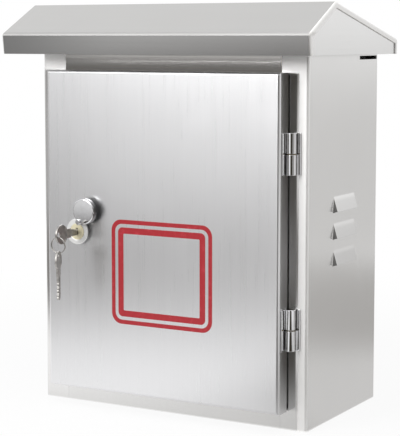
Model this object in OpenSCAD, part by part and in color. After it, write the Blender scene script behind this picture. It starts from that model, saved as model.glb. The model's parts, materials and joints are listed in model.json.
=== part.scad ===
// Electrical distribution cabinet: a stainless wall box with a rain roof, a hinged door and fittings inside.
// Millimetres, +Z up, front towards -Y. The origin is the middle of the body's underside.

/* [Body] */
// Width of the body
body_w = 300; // [280:5:400]
// Height of the body, up to the eave
body_h = 355; // [340:5:500]
// Depth of the body, without the door
body_d = 162; // [150:2:240]
// Thickness of the stainless sheet
sheet = 1.2; // [1:0.1:1.5]
// Outside radius of the sheet's folds
fold_r = 3; // [2:0.5:4]
// Width of the frame beside the opening
frame_side = 28; // [26:1:34]
// Height of the frame above the opening
frame_top = 26; // [24:1:34]
// Height of the frame below the opening
frame_bottom = 28; // [26:1:34]
// Depth of the rain lip round the opening
lip_d = 10; // [6:1:12]

/* [Louvres and holes] */
// Length of a louvre along its lip
louvre_len = 53; // [48:1:70]
// Height of a louvre
louvre_h = 15; // [12:1:18]
// How far a louvre stands out
louvre_out = 4.5; // [3:0.5:6]
// How far a louvre's lip stops short of each end
louvre_run = 3; // [1:0.5:6]
// Lean of a louvre's ends in degrees
louvre_lean = 10; // [0:1:25]
// Distance between louvres
louvre_pitch = 26; // [22:1:34]
// Height of the middle louvre's lip above the underside
louvre_z = 178; // [150:1:210]
// Length of the vent slot under the eave
slot_len = 42; // [20:1:60]
// Height of the vent slot
slot_h = 3.5; // [2:0.5:6]
// Radius of a wall fixing hole
wall_hole_r = 4; // [3:0.5:5]
// Distance of the wall fixing holes from the body's edges
wall_hole_inset = 20; // [16:1:24]
// Radius of the hole through a cable grommet
cable_r = 9; // [6:0.5:11]
// Distance between cable grommets
cable_pitch = 60; // [45:1:75]

/* [Roof] */
// Overhang of the roof at each side
roof_side = 21; // [10:1:40]
// Overhang of the roof at the front
roof_front = 42; // [25:1:60]
// Height of the front fascia
fascia_front = 20; // [12:1:26]
// How far the front fascia leans in at its foot
fascia_lean = 2.3; // [0:0.1:3]
// Height of the back fascia
fascia_back = 15; // [10:1:22]
// Height of the ridge above the eave
ridge_rise = 49.5; // [40:0.5:70]
// Distance of the ridge behind the body's front
ridge_back = 13.5; // [0:0.5:60]
// Width of the lip that is turned down round the roof's ends
roof_lip = 5.5; // [4:0.5:9]

/* [Door] */
// Distance of the door from the body's left edge
door_left = 18; // [14:1:20]
// Distance of the door from the body's right edge
door_right = 20; // [18:1:20]
// Distance of the door from the underside
door_bottom = 18; // [14:1:20]
// Distance of the door from the eave
door_top = 16; // [14:1:18]
// Depth of the door's folded edge
door_depth = 18; // [16:1:22]
// Gap between the door's edge and the frame
door_gap = 2; // [1.5:0.5:3]
// Width of the door seal
seal_w = 10; // [6:0.5:10]

/* [Hinges] */
// Outside radius of a hinge knuckle
knuckle_r = 5; // [4:0.5:6]
// Radius of a hinge pin
pin_r = 2.5; // [2:0.1:2.8]
// Height of a hinge
hinge_h = 39.5; // [30:0.5:60]
// Distance between the hinges
hinge_spread = 166; // [120:1:220]
// Thickness of a hinge leaf
leaf_t = 1.2; // [1:0.1:1.5]
// Running clearance round a hinge pin
pin_clear = 0.05; // [0.02:0.01:0.1]

/* [Lock] */
// Distance of the lock from the door's left edge
lock_inset = 39; // [37:1:46]
// Radius of the lock's bezel
bezel_r = 12.8; // [12.5:0.1:14]
// How far the bezel stands out of the door
bezel_h = 5; // [4:0.5:8]
// Radius of the lock's threaded barrel
barrel_r = 9.5; // [9:0.1:10]
// Radius of the plug's head
plug_head_r = 8; // [7.5:0.1:8.2]
// Radius of the plug's shank
plug_r = 6; // [5.8:0.1:6.5]
// Running clearance round the plug
plug_clear = 0.05; // [0.02:0.01:0.1]
// Length of the cam, from the plug's axis
cam_len = 41; // [39:0.5:46]
// Radius of the swing cover
cover_r = 13; // [12:0.5:14]
// Distance of the cover's rivet from the plug's axis
rivet_reach = 12; // [11.5:0.1:13]
// Direction of the cover's rivet, up from the right
rivet_angle = 62; // [40:1:90]
// Thickness of a key
key_t = 2.2; // [1.8:0.1:2.4]
// Radius of a key's bow
bow_r = 9.5; // [9:0.5:11]
// Mean radius of the key ring
ring_r = 8; // [7:0.5:12]
// Turn of the spare key on the ring
spare_turn = 20; // [0:1:24]

/* [Interior] */
// Height of the collars that carry the mounting plate
collar_h = 12; // [8:1:20]
// Thickness of the mounting plate
plate_t = 1.5; // [1.2:0.1:2]
// Gap between the mounting plate and the body's sides
plate_inset = 38; // [36:1:48]
// Height of the mounting plate's lower edge above the underside
plate_low = 36; // [34:1:48]
// Height of the rail above the underside
rail_z = 214; // [190:1:230]
// Width of one pole of a breaker
pole_w = 17.6; // [17:0.1:18]
// Height of the neutral bar above the underside
neutral_z = 122; // [112:1:130]
// Height of the earth bar above the underside
earth_z = 78; // [70:1:90]
// Length of a terminal bar
bar_len = 124; // [104:1:150]

/* [Hidden] */
$fn = 48;
half_w = body_w / 2;
y_front = -body_d / 2;
y_back = body_d / 2;
open_half = half_w - frame_side;
open_low = frame_bottom;
open_high = body_h - frame_top;
arc_steps = 6;
louvre_gap = 0.8;

// Fasteners shared by several places
m6_r = 3;
m6_clear_r = 3.3;
m6_nut_r = 5.8;
m6_nut_h = 5;
m6_head_r = 5.5;
m6_head_h = 4;

// Door planes and edges
door_back_y = y_front - door_gap;
door_front_y = door_back_y - door_depth;
door_x0 = door_left - half_w;
door_x1 = half_w - door_right;
door_z0 = door_bottom;
door_z1 = body_h - door_top;
seal_gap = 0.4;
seal_t = door_gap + door_depth - sheet - lip_d - seal_gap;

// Hinge line
hinge_x = door_x1 + knuckle_r;
hinge_y = y_front - knuckle_r;
hinge_mid = (door_z0 + door_z1) / 2 + 2;
washer_t = 0.8;
washer_gap = 0.1;
leaf_reach = 8;
leaf_clear = 0.6;
knuckle_cap = 1.5;

// Lock, in a frame with its face forward and the door's front at zero
lock_x = door_x0 + lock_inset;
lock_z = (door_z0 + door_z1) / 2;
cam_gap = 1;
cam_t = 2.5;
cam_w = 14;
cam_hub_r = 9;
cam_front = -(door_gap + door_depth + sheet + cam_gap);
barrel_end = cam_front + 0.3;
barrel_fit = 0.1;
plug_face = bezel_h + 0.3;
plug_head_t = 2.5;
tail = 8;
cam_screw_r = 2.5;
cam_screw_depth = 8;
cam_screw_head_r = 4.5;
cam_screw_head_h = 3;
lock_nut_r = 15.6;
lock_nut_h = 5;
rivet_r = 1.5;
rivet_head_r = 2.8;
rivet_head_h = 1.3;
rivet_root = 2;
rivet_fit = 0.05;
ear_r = 4.4;
cover_gap = 0.6;
cover_h = 5.4;
cover_wall = 1.2;
cover_rim = 1.8;
cover_boss_r = 3.4;
cover_back = bezel_h + cover_gap;
cover_face = cover_back + cover_h;
rivet_gap = 0.2;
rivet_spot = rivet_reach * [cos(rivet_angle), sin(rivet_angle)];

// Key, along its length from the door's face
key_tip = -7;
key_nose = 1.8;
key_blade_h = 7;
key_cut_first = 3.6;
key_cut_pitch = 3.4;
key_cut_flat = 0.8;
key_cuts = [1, 1.9, 1.3, 2.3, 1.6];
key_groove_w = 1.8;
key_groove_depth = 0.5;
bow_rim = 1.6;
bow_sink = 0.3;
key_collar_h = 9.4;
key_collar = [17, 24];
bow_at = 32;
key_eye_r = 2.6;
key_eye_at = bow_at + bow_r - 3.9;
ring_wire_r = 0.8;
ring_drop = key_eye_r - ring_wire_r + ring_r;
spare_drop = ring_drop + ring_r + key_eye_r - ring_wire_r;

// Mounting plate and what it carries, in a frame with the plate's front at zero
plate_front_y = y_back - sheet - collar_h - plate_t;
plate_w = body_w - 2 * plate_inset;
plate_top_gap = 40;
plate_h = body_h - plate_low - plate_top_gap;
plate_hole_inset = 12;
collar_r = 6;
stud_over = 9;
rail_short = 20;
rail_len = plate_w - rail_short;
rail_h = 7.5;
rail_w = 35;
rail_crown = 25;
rail_t = 1;
rail_screw_inset = 14;
rail_screw_x = rail_len / 2 - rail_screw_inset;
rail_slot_r = 3.1;
rail_slot_len = 9;
rail_slot_pitch = 25;
rail_slots = floor((rail_screw_x - rail_slot_len) / rail_slot_pitch);
rail_screw_r = 2;
rail_screw_head_r = 4;
rail_screw_head_h = 2.4;
branch_count = 4;
pole_gap = 0.3;
breaker_back = 5;
breaker_shoulder = 50;
breaker_nose = 66;
breaker_half_h = 41;
nose_half_h = 22.5;
hook_in = 15.5;
hook_fit = 0.2;
hook_front = rail_h - rail_t - 0.2;
slot_half_h = 10;
slot_floor = 52;
toggle_pivot = 60;
toggle_hub_r = 6;
toggle_tip = 77;
toggle_off = -25;
toggle_side = 0.4;
toggle_t = 5;
toggle_tip_r = 1.7;
main_slot_w = pole_w + 6;
branch_slot_w = 7;
toggle_stub_r = 1.5;
toggle_stub_fit = 0.05;
toggle_stub_reach = 1.4;
terminal_at = 32;
terminal_r = 3;
terminal_sink = 3;
terminal_t = 1.6;
terminal_fit = 0.3;
entry_w = 9;
entry_t = 11;
entry_depth = 12;
entry_low = 25.5;
row_w = (2 + branch_count) * pole_w + branch_count * pole_gap;
bar_h = 9;
bar_t = 8;
bar_stand = 18;
bar_foot_w = 12;
bar_screw_r = 2.6;
bar_screw_h = 2;
bar_screw_count = 8;
bar_screw_pitch = 10;
bar_hole_r = 2.3;
grommet_rim = 3;
grommet_lip_h = 2.5;
grommet_back = 55;
roof_half = half_w + roof_side;
roof_bolt_side = 40;
roof_bolt_end = 36;
roof_bolt_x = half_w - roof_bolt_side;
roof_bolt_y = body_d / 2 - roof_bolt_end;
roof_over = 4;
lean_angle = atan(fascia_lean / fascia_front);

// Points of a bend round p1 on the way from p0 to p2: the fold's outside radius is r, drawn at radius rr
function bend(p0, p1, p2, r, rr) =
    let (a = (p1 - p0) / norm(p1 - p0))
    let (b = (p2 - p1) / norm(p2 - p1))
    let (turn = atan2(a.x * b.y - a.y * b.x, a * b))
    let (side = sign(turn))
    let (centre = p1 - a * r * tan(abs(turn) / 2) + side * r * [-a.y, a.x])
    let (start = atan2(-side * a.x, side * a.y))
    let (angles = [for (i = [0:arc_steps]) start + turn * i / arc_steps])
    [for (angle = angles) centre + rr * [cos(angle), sin(angle)]];

// A path that bends one way only, with round folds, moved inwards by inset
function folded(path, inset) =
    let (n = len(path))
    let (first = (path[1] - path[0]) / norm(path[1] - path[0]))
    let (last = (path[n - 1] - path[n - 2]) / norm(path[n - 1] - path[n - 2]))
    let (side = sign(first.x * (path[2] - path[1]).y - first.y * (path[2] - path[1]).x))
    concat(
        [path[0] + side * inset * [-first.y, first.x]],
        [for (i = [1:n - 2]) each bend(path[i - 1], path[i], path[i + 1], fold_r, fold_r - inset)],
        [path[n - 1] + side * inset * [-last.y, last.x]]
    );

// The same path with sharp corners, moved inwards by inset
function mitred(path, inset) =
    let (n = len(path))
    let (dirs = [for (i = [0:n - 2]) (path[i + 1] - path[i]) / norm(path[i + 1] - path[i])])
    let (side = sign(dirs[0].x * dirs[1].y - dirs[0].y * dirs[1].x))
    let (outs = [for (d = dirs) side * [-d.y, d.x]])
    concat(
        [path[0] + inset * outs[0]],
        [for (i = [1:n - 2]) path[i] + inset * (outs[i - 1] + outs[i]) / (1 + outs[i - 1] * outs[i])],
        [path[n - 1] + inset * outs[n - 2]]
    );

function backwards(points) = [for (i = [len(points) - 1:-1:0]) points[i]];

// Section of a folded sheet whose outside follows the path
module sheet_section(path) {
    polygon(concat(folded(path, 0), backwards(folded(path, sheet))));
}

// Draws a section given in Y and Z, and runs it along X
module along_x(length) {
    translate([-length / 2, 0, 0]) rotate([90, 0, 90]) linear_extrude(length) children();
}

body_path = [
    [-open_half, y_front], [-half_w, y_front], [-half_w, y_back],
    [half_w, y_back], [half_w, y_front], [open_half, y_front]
];
roof_path = [
    [y_front - roof_front + fascia_lean + roof_over * tan(lean_angle), body_h - roof_over],
    [y_front - roof_front, body_h + fascia_front], [y_front + ridge_back, body_h + ridge_rise],
    [y_back, body_h + fascia_back], [y_back, body_h - roof_over]
];

// Half space that ends a louvre at its back: a plane that leans inwards as it rises and as it leaves
// the wall, drawn in by inset
module louvre_end(inset) {
    normal = [louvre_run / louvre_out, 1, tan(louvre_lean)];
    unit = normal / norm(normal);
    rotate([asin(unit.z), 0, -atan2(unit.x, unit.y)])
        translate([-louvre_len, -2 * louvre_len, -louvre_len])
            cube([2 * louvre_len, 2 * louvre_len + unit.y * louvre_len / 2 - inset, 2 * louvre_len]);
}

// Hood of a pressed louvre on the right wall, drawn in by inset: a flap that leans out to its lip,
// with a three-cornered cheek at each end, open below
module louvre_form(inset) {
    low = inset > 0 ? -louvre_gap : 0;
    back = inset > 0 ? 2 * sheet : sheet / 2;
    slope = louvre_out / louvre_h;
    lip = louvre_out - inset * norm([1, slope]);
    intersection() {
        translate([0, louvre_len, 0]) rotate([90, 0, 0]) linear_extrude(2 * louvre_len) polygon([
            [-back, low], [lip - low * slope, low], [-back, (lip + back) / slope]
        ]);
        louvre_end(inset);
        mirror([0, 1, 0]) louvre_end(inset);
    }
}

// Places its children at each louvre of both walls
module at_louvres() {
    for (side = [0, 1], row = [-1:1])
        mirror([side, 0, 0]) translate([half_w, 0, louvre_z + row * louvre_pitch]) children();
}

// Back, sides and front flanges: one folded sheet with louvres, vent slots and wall fixing holes
module body_wrapper() {
    wall_hole_x = half_w - wall_hole_inset;
    color("lightgray") difference() {
        union() {
            linear_extrude(body_h) sheet_section(body_path);
            for (side = [0, 1]) mirror([side, 0, 0])
                translate([open_half, y_front - lip_d, open_low - sheet])
                    cube([sheet, lip_d + sheet / 2, open_high - open_low + 2 * sheet]);
            at_louvres() louvre_form(0);
        }
        at_louvres() louvre_form(sheet);
        for (side = [0, 1]) mirror([side, 0, 0])
            translate([half_w - 2 * sheet, y_back - fold_r - 1 - slot_len, body_h - 1.5 * sheet - slot_h])
                cube([3 * sheet, slot_len, slot_h]);
        for (x = [-wall_hole_x, wall_hole_x], z = [wall_hole_inset, body_h - wall_hole_inset])
            translate([x, y_back - 2 * sheet, z])
                rotate([-90, 0, 0]) cylinder(r = wall_hole_r, h = 4 * sheet);
    }
}

// Flat panel that fills the wrapper's inside, its lower face at z
module inner_panel(z) {
    translate([0, 0, z]) linear_extrude(sheet) polygon(folded(body_path, sheet));
}

// Rail of the frame between the side flanges, with the rain lip along its opening edge
module frame_rail(low, high, lip_z) {
    translate([-open_half, y_front, low]) cube([2 * open_half, sheet, high - low]);
    translate([-open_half, y_front - lip_d, lip_z]) cube([2 * open_half, lip_d + sheet / 2, sheet]);
}

module at_roof_bolts(z) {
    for (x = [-roof_bolt_x, roof_bolt_x], y = [-roof_bolt_y, roof_bolt_y]) translate([x, y, z]) children();
}

module top_panel() {
    color("silver") difference() {
        union() {
            inner_panel(body_h - sheet);
            frame_rail(open_high, body_h, open_high);
        }
        at_roof_bolts(body_h - 2 * sheet) cylinder(r = m6_clear_r, h = 3 * sheet);
    }
}

module at_grommets(z) {
    for (i = [-1:1]) translate([i * cable_pitch, y_back - grommet_back, z]) children();
}

module bottom_panel() {
    color("silver") difference() {
        union() {
            inner_panel(0);
            frame_rail(0, open_low, open_low - sheet);
        }
        at_grommets(-sheet) cylinder(r = cable_r + grommet_rim, h = 3 * sheet);
    }
}

// Rubber grommets: a groove grips the floor's edge, and nothing stands below the underside
module cable_grommets() {
    color("dimgray") at_grommets(0) difference() {
        union() {
            cylinder(r = cable_r + grommet_rim, h = sheet + grommet_lip_h);
            translate([0, 0, sheet]) cylinder(r = cable_r + 2 * grommet_rim, h = grommet_lip_h);
        }
        translate([0, 0, -1]) cylinder(r = cable_r, h = sheet + grommet_lip_h + 2);
    }
}

// Cuts the foot of its children off level with the body's top
module cut_level() {
    difference() {
        children();
        translate([-2 * roof_half, -2 * body_d, body_h - 3 * roof_over])
            cube([4 * roof_half, 4 * body_d, 3 * roof_over]);
    }
}

// Fascias and slopes in one folded sheet, with lips turned down round both ends
module roof_sheet() {
    color("gainsboro") cut_level() {
        along_x(2 * roof_half) sheet_section(roof_path);
        for (side = [0, 1]) mirror([side, 0, 0])
            translate([roof_half - sheet / 2, 0, 0]) along_x(sheet)
                polygon(concat(folded(roof_path, 0), backwards(mitred(roof_path, roof_lip))));
    }
}

module roof_gable() {
    cut_level() translate([roof_half - 1.5 * sheet, 0, 0]) along_x(sheet) polygon(folded(roof_path, sheet));
}

module roof_gable_left() {
    color("whitesmoke") mirror([1, 0, 0]) roof_gable();
}

module roof_gable_right() {
    color("whitesmoke") roof_gable();
}

// Flat plate that closes the roof from below and sits on the body, its front edge against the leaning fascia
module roof_soffit() {
    foot_y = y_front - roof_front + fascia_lean + sheet / cos(lean_angle);
    color("gainsboro") difference() {
        along_x(2 * roof_half - 4 * sheet) polygon([
            [foot_y, body_h], [y_back - sheet, body_h], [y_back - sheet, body_h + sheet],
            [foot_y - sheet * tan(lean_angle), body_h + sheet]
        ]);
        at_roof_bolts(body_h - sheet) cylinder(r = m6_clear_r, h = 3 * sheet);
    }
}

module hex_nut() {
    difference() {
        cylinder(r = m6_nut_r, h = m6_nut_h, $fn = 6);
        translate([0, 0, -1]) cylinder(r = m6_r, h = m6_nut_h + 2);
    }
}

module roof_weld_nuts() {
    color("darkgray") at_roof_bolts(body_h + sheet) hex_nut();
}

module roof_bolts() {
    color("gray") at_roof_bolts(body_h - sheet) {
        translate([0, 0, -m6_head_h]) cylinder(r = m6_head_r, h = m6_head_h, $fn = 6);
        cylinder(r = m6_r, h = 2 * sheet + m6_nut_h);
    }
}

// Places its children at the middle of each hinge, on the hinge line
module at_hinges() {
    for (side = [-1, 1]) translate([hinge_x, hinge_y, hinge_mid + side * hinge_spread / 2]) children();
}

// Leaf on the frame face with the lower knuckle
module hinge_frame_leaves() {
    half = hinge_h / 2;
    color("silver") at_hinges() difference() {
        union() {
            translate([0, 0, -half]) cylinder(r = knuckle_r, h = half - washer_t / 2);
            translate([0, knuckle_r - leaf_t, -half]) cube([leaf_reach, leaf_t, half - washer_t / 2]);
            translate([knuckle_r + leaf_clear, knuckle_r - leaf_t, -half])
                cube([leaf_reach - knuckle_r - leaf_clear, leaf_t, hinge_h]);
        }
        translate([0, 0, -half - 1]) cylinder(r = pin_r, h = half + 1);
    }
}

// Leaf on the door's folded edge with the upper knuckle, capped over the pin
module hinge_door_leaves() {
    half = hinge_h / 2;
    leaf_y = door_front_y + fold_r + 1 - hinge_y;
    low = washer_t / 2 + washer_gap;
    color("silver") at_hinges() difference() {
        union() {
            translate([0, 0, low]) cylinder(r = knuckle_r, h = half - low);
            translate([-knuckle_r, leaf_y, low]) cube([leaf_t, -leaf_y, half - low]);
            translate([-knuckle_r, leaf_y, -half]) cube([leaf_t, -leaf_y - knuckle_r - leaf_clear, hinge_h]);
        }
        cylinder(r = pin_r + pin_clear, h = half - knuckle_cap);
    }
}

module hinge_pins() {
    half = hinge_h / 2;
    color("darkgray") at_hinges() translate([0, 0, -half])
        cylinder(r = pin_r, h = hinge_h - 2 * knuckle_cap);
}

module hinge_washers() {
    color("goldenrod") at_hinges() translate([0, 0, -washer_t / 2]) difference() {
        cylinder(r = knuckle_r, h = washer_t);
        translate([0, 0, -1]) cylinder(r = pin_r, h = washer_t + 2);
    }
}

// Solid with the door's outline, its front and side faces moved inwards by inset; the back stays open
module door_form(inset) {
    edge_x = [door_x0 + inset, door_x1 - inset];
    edge_z = [door_z0 + inset, door_z1 - inset];
    front = door_front_y + inset;
    round_r = fold_r - inset;
    back = door_back_y + inset;
    across = [[edge_x[0], back], [edge_x[0], front], [edge_x[1], front], [edge_x[1], back]];
    upright = [[back, edge_z[0]], [front, edge_z[0]], [front, edge_z[1]], [back, edge_z[1]]];
    intersection() {
        translate([0, 0, edge_z[0]]) linear_extrude(edge_z[1] - edge_z[0])
            polygon(concat(
                [across[0]],
                bend(across[0], across[1], across[2], round_r, round_r),
                bend(across[1], across[2], across[3], round_r, round_r),
                [across[3]]
            ));
        along_x(2 * body_w)
            polygon(concat(
                [upright[0]],
                bend(upright[0], upright[1], upright[2], round_r, round_r),
                bend(upright[1], upright[2], upright[3], round_r, round_r),
                [upright[3]]
            ));
    }
}

// Door: a shallow pan folded back on all four sides, with the lock's hole
module door_panel() {
    color("whitesmoke") difference() {
        door_form(0);
        door_form(sheet);
        at_lock() translate([0, 0, -3 * sheet]) cylinder(r = barrel_r + barrel_fit, h = 5 * sheet);
    }
}

// Foam seal inside the door that faces the rain lip
module door_seal() {
    out_x = open_half + sheet / 2 + seal_w / 2;
    out_low = open_low - sheet / 2 - seal_w / 2;
    out_high = open_high + sheet / 2 + seal_w / 2;
    color("dimgray") difference() {
        translate([-out_x, door_front_y + sheet, out_low]) cube([2 * out_x, seal_t, out_high - out_low]);
        translate([seal_w - out_x, door_front_y, out_low + seal_w])
            cube([2 * (out_x - seal_w), seal_t + 2 * sheet, out_high - out_low - 2 * seal_w]);
    }
}

// Places its children in the lock's frame: X right, Y up, Z forward from the door's front
module at_lock() {
    translate([lock_x, door_front_y, lock_z]) rotate([90, 0, 0]) children();
}

// Bezel with an ear for the cover's rivet, and the barrel that goes through the door
module lock_housing() {
    color("silver") at_lock() difference() {
        union() {
            cylinder(r = bezel_r, h = bezel_h);
            translate(rivet_spot) cylinder(r = ear_r, h = bezel_h);
            translate([0, 0, barrel_end]) cylinder(r = barrel_r, h = -barrel_end + 1);
        }
        translate([0, 0, barrel_end - 1]) cylinder(r = plug_r + plug_clear, h = bezel_h - barrel_end);
        translate([0, 0, bezel_h - plug_head_t]) cylinder(r = plug_head_r + plug_clear, h = plug_head_t + 1);
        translate([rivet_spot.x, rivet_spot.y, rivet_root]) cylinder(r = rivet_r, h = bezel_h);
    }
}

module lock_nut() {
    color("darkgray") at_lock() translate([0, 0, -sheet - lock_nut_h]) difference() {
        cylinder(r = lock_nut_r, h = lock_nut_h, $fn = 6);
        translate([0, 0, -1]) cylinder(r = barrel_r, h = lock_nut_h + 2);
    }
}

// Plug with a keyway in its face and a square tail for the cam
module lock_plug() {
    color("goldenrod") at_lock() difference() {
        union() {
            translate([0, 0, bezel_h - plug_head_t])
                cylinder(r = plug_head_r, h = plug_face - bezel_h + plug_head_t);
            translate([0, 0, cam_front]) cylinder(r = plug_r, h = bezel_h - cam_front);
            translate([-tail / 2, -tail / 2, cam_front - cam_t]) cube([tail, tail, cam_t + 1]);
        }
        translate([-key_t / 2, -key_blade_h / 2, key_tip])
            cube([key_t, key_blade_h, 2 * plug_face - key_tip]);
        translate([0, 0, cam_front - cam_t - 1]) cylinder(r = cam_screw_r, h = cam_screw_depth + 1);
    }
}

// Cam that hangs down when the door is free and turns behind the frame's left flange
module lock_cam() {
    corner = 3;
    color("darkgray") at_lock() translate([0, 0, cam_front - cam_t]) difference() {
        union() {
            cylinder(r = cam_hub_r, h = cam_t);
            linear_extrude(cam_t) polygon([
                [-cam_w / 2, 0], [-cam_w / 2, corner - cam_len], [corner - cam_w / 2, -cam_len],
                [cam_w / 2 - corner, -cam_len], [cam_w / 2, corner - cam_len], [cam_w / 2, 0]
            ]);
        }
        translate([-tail / 2, -tail / 2, -1]) cube([tail, tail, cam_t + 2]);
    }
}

module cam_screw() {
    color("gray") at_lock() translate([0, 0, cam_front - cam_t]) {
        translate([0, 0, -cam_screw_head_h]) cylinder(r = cam_screw_head_r, h = cam_screw_head_h, $fn = 6);
        cylinder(r = cam_screw_r, h = cam_screw_depth);
    }
}

module cover_rivet() {
    color("silver") at_lock() translate([rivet_spot.x, rivet_spot.y, rivet_root]) {
        cylinder(r = rivet_r, h = cover_face + rivet_gap - rivet_root);
        translate([0, 0, cover_face + rivet_gap - rivet_root]) cylinder(r = rivet_head_r, h = rivet_head_h);
    }
}

// Dust cap with a round rim, swung half a turn away from the keyway
module lock_cover() {
    color("silver") at_lock() difference() {
        union() {
            difference() {
                translate([2 * rivet_spot.x, 2 * rivet_spot.y, cover_back]) rotate_extrude() {
                    square([cover_r, cover_h - cover_rim]);
                    square([cover_r - cover_rim, cover_h]);
                    translate([cover_r - cover_rim, cover_h - cover_rim]) circle(r = cover_rim);
                }
                translate([2 * rivet_spot.x, 2 * rivet_spot.y, cover_back - 1])
                    cylinder(r = cover_r - cover_wall, h = cover_h - cover_wall + 1);
            }
            translate([rivet_spot.x, rivet_spot.y, cover_back]) cylinder(r = cover_boss_r, h = cover_h);
        }
        translate([rivet_spot.x, rivet_spot.y, 0]) cylinder(r = rivet_r + rivet_fit, h = 2 * cover_face);
    }
}

// One cut of a key's edge: a flat floor and two slopes at 45 degrees
module key_cut(depth) {
    half = key_cut_flat / 2;
    polygon([[-half, 0], [half, 0], [half + depth, depth], [-half - depth, depth]]);
}

// Flat outline of a key along X, from its tip to its bow, with the cuts of its upper edge
module key_outline() {
    half = key_blade_h / 2;
    difference() {
        union() {
            polygon([
                [key_tip, -half + key_nose], [key_tip + key_nose, -half], [bow_at, -half],
                [bow_at, half], [key_tip + key_nose, half], [key_tip, half - key_nose]
            ]);
            translate([key_collar[0], -key_collar_h / 2])
                square([key_collar[1] - key_collar[0], key_collar_h]);
            translate([bow_at, 0]) circle(r = bow_r);
        }
        translate([key_eye_at, 0]) circle(r = key_eye_r);
        for (i = [0:len(key_cuts) - 1])
            translate([key_tip + key_cut_first + i * key_cut_pitch, half - key_cuts[i]])
                key_cut(key_cuts[i] + 1);
    }
}

// Key with a milled groove along each side of its blade and a sunk field on each side of its bow
module key_form() {
    difference() {
        linear_extrude(key_t, center = true) key_outline();
        for (side = [0, 1]) mirror([0, 0, side]) {
            translate([key_tip - 1, -key_groove_w, key_t / 2 - key_groove_depth])
                cube([key_collar[0] - key_tip, key_groove_w, key_t]);
            translate([bow_at, 0, key_t / 2 - bow_sink]) cylinder(r = bow_r - bow_rim, h = key_t);
        }
    }
}

module lock_key() {
    color("silver") at_lock() rotate([0, -90, 0]) key_form();
}

module key_ring() {
    color("gray") at_lock() translate([0, -ring_drop, key_eye_at])
        rotate_extrude() translate([ring_r, 0]) circle(r = ring_wire_r);
}

module spare_key() {
    color("silver") at_lock() translate([0, -spare_drop, key_eye_at]) rotate([0, spare_turn, 0])
        rotate([90, 0, 90]) translate([-key_eye_at, 0, 0]) key_form();
}

// Places its children in the mounting plate's frame: X right, Y up, Z forward from the plate's front
module on_plate(x, z) {
    translate([x, plate_front_y, z]) rotate([90, 0, 0]) children();
}

module at_plate_corners() {
    spot_x = plate_w / 2 - plate_hole_inset;
    spot_z = [plate_low + plate_hole_inset, plate_low + plate_h - plate_hole_inset];
    for (x = [-spot_x, spot_x], z = spot_z) on_plate(x, z) children();
}

module mounting_plate() {
    color("gainsboro") difference() {
        on_plate(0, plate_low + plate_h / 2) translate([-plate_w / 2, -plate_h / 2, -plate_t])
            cube([plate_w, plate_h, plate_t]);
        at_plate_corners() translate([0, 0, -2 * plate_t]) cylinder(r = m6_clear_r, h = 4 * plate_t);
    }
}

// Studs welded to the back wall, each with a collar that the mounting plate rests on
module plate_studs() {
    color("silver") at_plate_corners() {
        translate([0, 0, -plate_t - collar_h]) cylinder(r = collar_r, h = collar_h);
        translate([0, 0, -plate_t - collar_h / 2]) cylinder(r = m6_r, h = plate_t + collar_h / 2 + stud_over);
    }
}

module plate_nuts() {
    color("darkgray") at_plate_corners() hex_nut();
}

// Top-hat rail with two screw holes and a row of long slots
module din_rail() {
    half = rail_w / 2;
    crown = rail_crown / 2;
    color("silver") on_plate(0, rail_z) difference() {
        rotate([0, -90, 0]) linear_extrude(rail_len, center = true) polygon([
            [rail_h, half], [rail_h, crown - rail_t], [rail_t, crown - rail_t], [rail_t, rail_t - crown],
            [rail_h, rail_t - crown], [rail_h, -half], [rail_h - rail_t, -half], [rail_h - rail_t, -crown],
            [0, -crown], [0, crown], [rail_h - rail_t, crown], [rail_h - rail_t, half]
        ]);
        for (x = [-rail_screw_x, rail_screw_x]) translate([x, 0, -1]) cylinder(r = rail_screw_r, h = rail_h);
        for (i = [-rail_slots:rail_slots]) translate([i * rail_slot_pitch, 0, -1]) {
            for (x = [-rail_slot_len / 2, rail_slot_len / 2])
                translate([x, 0, 0]) cylinder(r = rail_slot_r, h = rail_h);
            translate([-rail_slot_len / 2, -rail_slot_r, 0]) cube([rail_slot_len, 2 * rail_slot_r, rail_h]);
        }
    }
}

module rail_screws() {
    color("gray") on_plate(0, rail_z) for (x = [-rail_screw_x, rail_screw_x]) translate([x, 0, 0]) {
        cylinder(r = rail_screw_r, h = rail_t);
        translate([0, 0, rail_t]) cylinder(r = rail_screw_head_r, h = rail_screw_head_h);
    }
}

// Middle of a breaker in the row, and of a pole in its breaker
function main_x() = pole_w - row_w / 2;
function pole_x(pole, poles) = (pole - (poles - 1) / 2) * pole_w;
function branch_x(i) = 2 * pole_w - row_w / 2 + (i - 0.5) * pole_w + i * pole_gap;

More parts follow.
